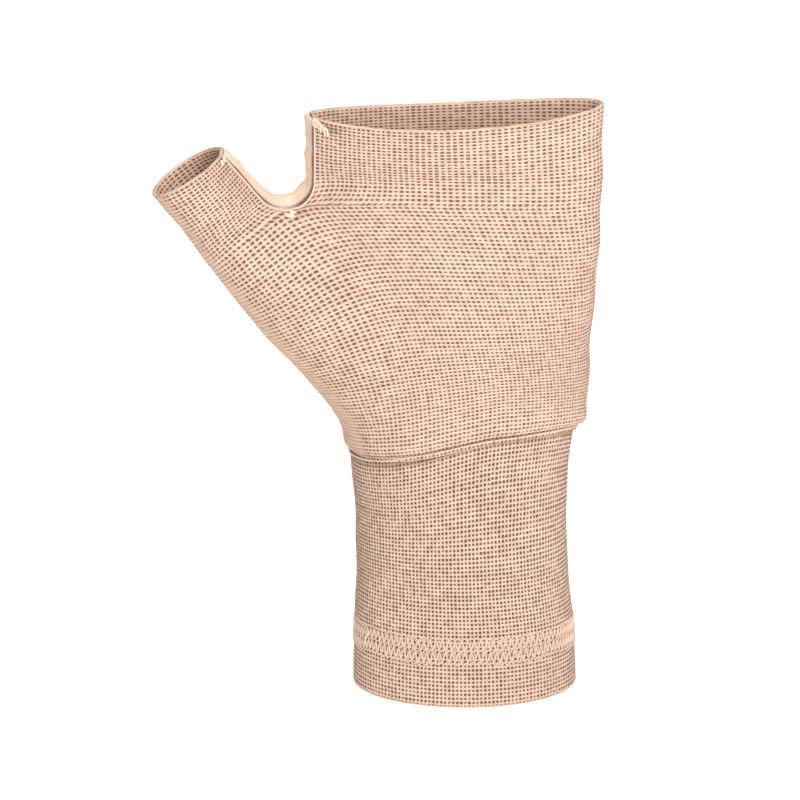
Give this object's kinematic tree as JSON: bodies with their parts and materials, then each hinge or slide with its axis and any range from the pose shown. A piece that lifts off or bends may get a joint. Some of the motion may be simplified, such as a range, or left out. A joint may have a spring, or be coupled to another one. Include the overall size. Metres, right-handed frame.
{
  "type": "knitted wrist and thumb support",
  "caption": "Soft elastic knitted wrist support: a ribbed sleeve with a snug wrist, doubled cuff, open knuckle end and short open thumb stall divided by a bound notch.",
  "frame": {"origin": "centre of the wrist opening, in the plane of the lower rim of the cuff", "axes": "+Z from the wrist rim towards the fingers, -Y towards the palm side that the viewer sees, -X towards the thumb"},
  "size_m": [0.1302, 0.051, 0.1774],
  "materials": {
    "knit": "open square-mesh elastic knit, peach beige, matt",
    "cuff_knit": "closer doubled knit, peach beige, matt",
    "tape": "smooth close-knit binding, slight sheen",
    "thread": "light sewing thread, slight sheen"
  },
  "bodies": {
    "root": {"hand_sleeve": "knit", "wrist_sleeve": "knit", "wrist_cuff": "cuff_knit", "cuff_seam_thread": "thread", "crease_seam_thread": "thread", "knuckle_welt": "tape", "thumb_welt": "tape", "web_binding": "tape", "web_seam_front": "thread", "web_seam_back": "thread", "knuckle_corner_tack": "thread", "thumb_corner_tack": "thread", "web_crotch_tack": "thread"}
  },
  "joints": []
}
